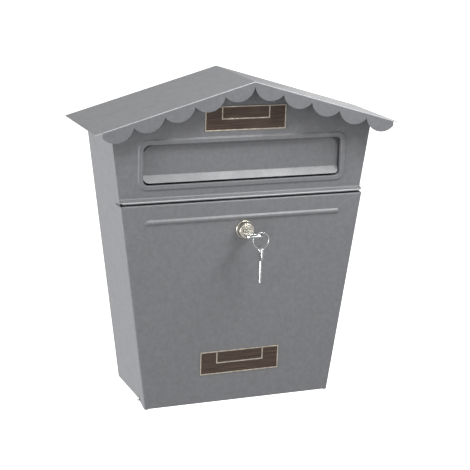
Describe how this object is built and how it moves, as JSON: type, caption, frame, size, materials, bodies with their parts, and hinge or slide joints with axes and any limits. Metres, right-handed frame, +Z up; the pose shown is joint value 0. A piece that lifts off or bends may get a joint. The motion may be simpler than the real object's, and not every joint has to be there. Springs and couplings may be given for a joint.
{
  "type": "wall mounted mailbox",
  "caption": "Sheet steel letter box with a gabled scalloped roof, lifting letter flap, tilt-down door with cam lock, keys on a ring and blank name plates.",
  "frame": {"origin": "middle of the four wall fixing holes, on the back panel's rear face, which lies on the wall", "axes": "+Z up, -Y out of the wall towards the user, +X to the user's right when facing the door"},
  "size_m": [0.365, 0.143, 0.3795],
  "materials": {
    "body_paint": "satin grey powder coat with a faint mottle",
    "zinc_plate": "zinc plated",
    "bright_plate": "bright nickel plate",
    "plaque_plate": "dark brown lacquer with pale gold border lines"
  },
  "bodies": {
    "box": {"back_panel": "body_paint", "left_side_panel": "body_paint", "right_side_panel": "body_paint", "floor_panel": "body_paint", "front_panel": "body_paint", "roof": "body_paint", "strike_plate": "zinc_plate", "upper_plaque": "plaque_plate", "left_flap_bracket": "body_paint", "right_flap_bracket": "body_paint", "flap_hinge_rod": "zinc_plate", "rod_end_clips": "zinc_plate", "door_hinge_pins": "zinc_plate"},
    "flap": {"letter_flap": "body_paint"},
    "door": {"door_panel": "body_paint", "door_plaque": "plaque_plate", "lock_barrel": "bright_plate", "lock_washer": "zinc_plate", "lock_nut": "zinc_plate"},
    "lock": {"lock_plug": "bright_plate", "lock_cam": "zinc_plate", "cam_screw": "zinc_plate"},
    "key": {"key": "bright_plate"},
    "ring": {"split_ring": "bright_plate"},
    "spare_key": {"spare_key": "bright_plate"}
  },
  "joints": [
    {"name": "door_hinge", "type": "hinge", "parent": "box", "child": "door", "pos_m": [0, -0.084, -0.142], "axis": [1, 0, 0], "range_deg": [0, 110]},
    {"name": "flap_hinge", "type": "hinge", "parent": "box", "child": "flap", "pos_m": [0, -0.0878, 0.1605], "axis": [-1, 0, 0], "range_deg": [0, 55]},
    {"name": "lock_turn", "type": "hinge", "parent": "door", "child": "lock", "pos_m": [0, -0.102, 0.0575], "axis": [0, 1, 0], "range_deg": [0, 90]},
    {"name": "key_withdraw", "type": "slide", "parent": "lock", "child": "key", "axis": [0, -1, 0], "range_m": [0, 0.025]},
    {"name": "ring_hang", "type": "hinge", "parent": "key", "child": "ring", "pos_m": [0.00825, -0.133, 0.0575], "axis": [0, 1, 0], "range_deg": [-90, 0]},
    {"name": "spare_key_swing", "type": "hinge", "parent": "ring", "child": "spare_key", "pos_m": [0.00825, -0.133, 0.04157], "axis": [1, 0, 0], "range_deg": [-60, 30]}
  ],
  "couplings": [
    {"joint": "ring_hang", "follows": "lock_turn", "ratio": -1}
  ]
}
